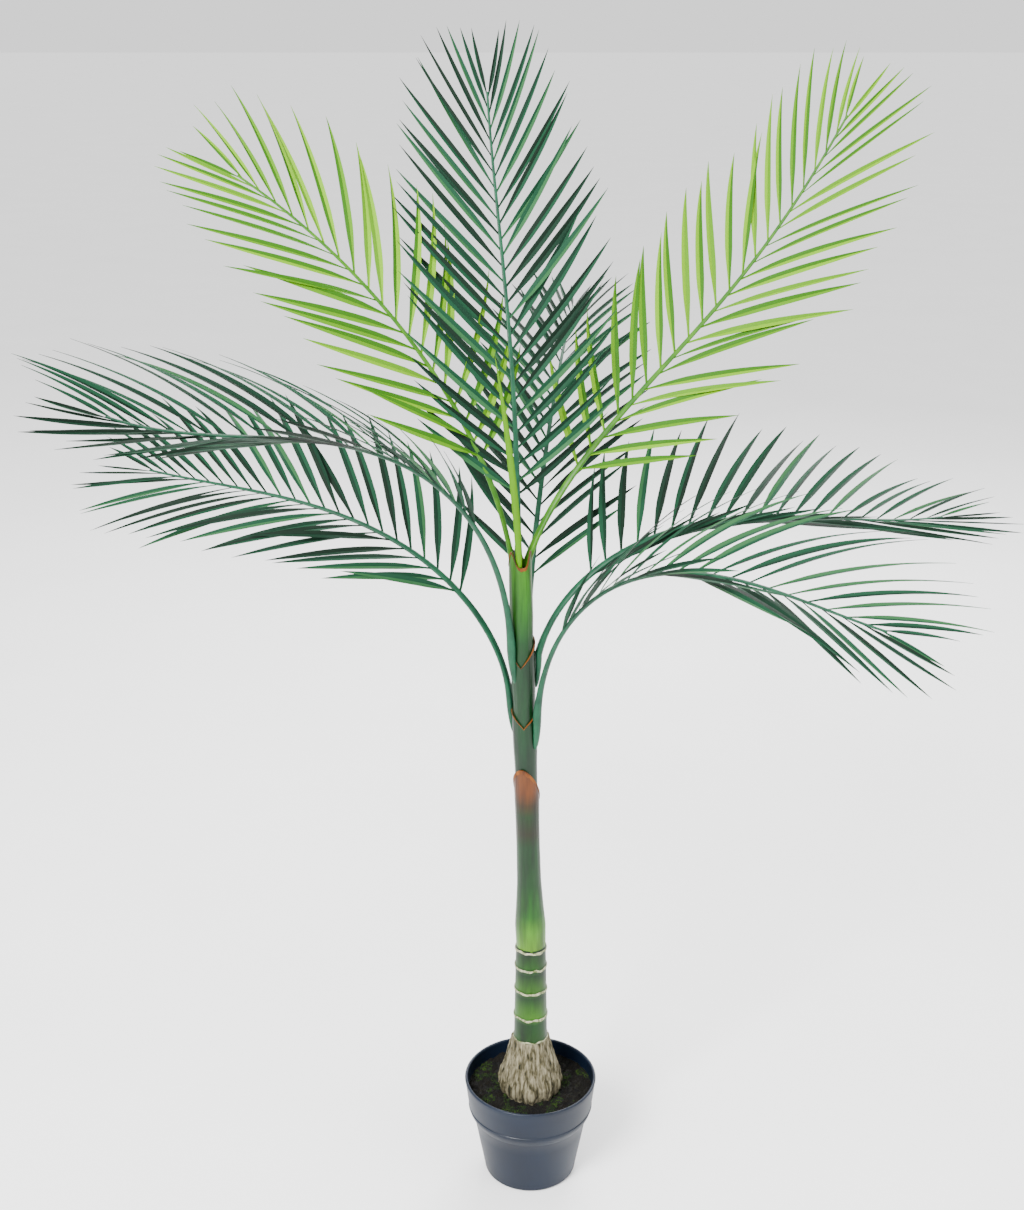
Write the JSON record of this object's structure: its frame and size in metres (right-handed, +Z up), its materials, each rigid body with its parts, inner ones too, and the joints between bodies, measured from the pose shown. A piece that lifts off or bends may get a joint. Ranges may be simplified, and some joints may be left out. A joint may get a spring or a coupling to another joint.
{
  "type": "artificial potted areca palm",
  "caption": "Artificial areca palm with arching feather fronds on a slim ringed stem wrapped in sheaths, standing in a round tapered nursery pot filled to below its rim.",
  "frame": {"origin": "centre of the pot's flat underside", "axes": "+Z up along the stem, -Y towards the side the picture shows, +X to its right"},
  "size_m": [1.2437, 0.9795, 1.5141],
  "materials": {
    "pot_plastic": "dark slate blue moulded plastic, softly shiny",
    "soil_moss": "cast cement fill with a crumbly dark top and moss",
    "root_bark": "ridged tan and grey root foot",
    "stem_green": "green stem with whitish ring scars",
    "sheath_green": "green sheaths with orange-brown edges",
    "frond_dark": "dark bluish green leaf fabric, satin",
    "frond_pale": "light yellowish green leaf fabric, satin"
  },
  "bodies": {
    "root": {"frond_back_inner": "frond_dark", "frond_back_outer": "frond_dark", "frond_left_inner": "frond_dark", "frond_left_outer": "frond_dark", "frond_low_left_inner": "frond_dark", "frond_low_left_outer": "frond_dark", "frond_low_right_inner": "frond_dark", "frond_low_right_outer": "frond_dark", "frond_pale_left_inner": "frond_pale", "frond_pale_left_outer": "frond_pale", "frond_pale_right_inner": "frond_pale", "frond_pale_right_outer": "frond_pale", "frond_right_inner": "frond_dark", "frond_right_outer": "frond_dark", "frond_top_inner": "frond_dark", "frond_top_outer": "frond_dark", "lower_sheath": "sheath_green", "petiole_back": "frond_dark", "petiole_left": "frond_dark", "petiole_low_left": "frond_dark", "petiole_low_right": "frond_dark", "petiole_pale_left": "frond_pale", "petiole_pale_right": "frond_pale", "petiole_right": "frond_dark", "petiole_top": "frond_dark", "pot": "pot_plastic", "pot_fill": "soil_moss", "ringed_stem": "stem_green", "root_flare": "root_bark", "second_sheath": "sheath_green", "spear_leaf": "frond_pale", "third_sheath": "sheath_green", "top_sheath": "sheath_green"}
  },
  "joints": []
}
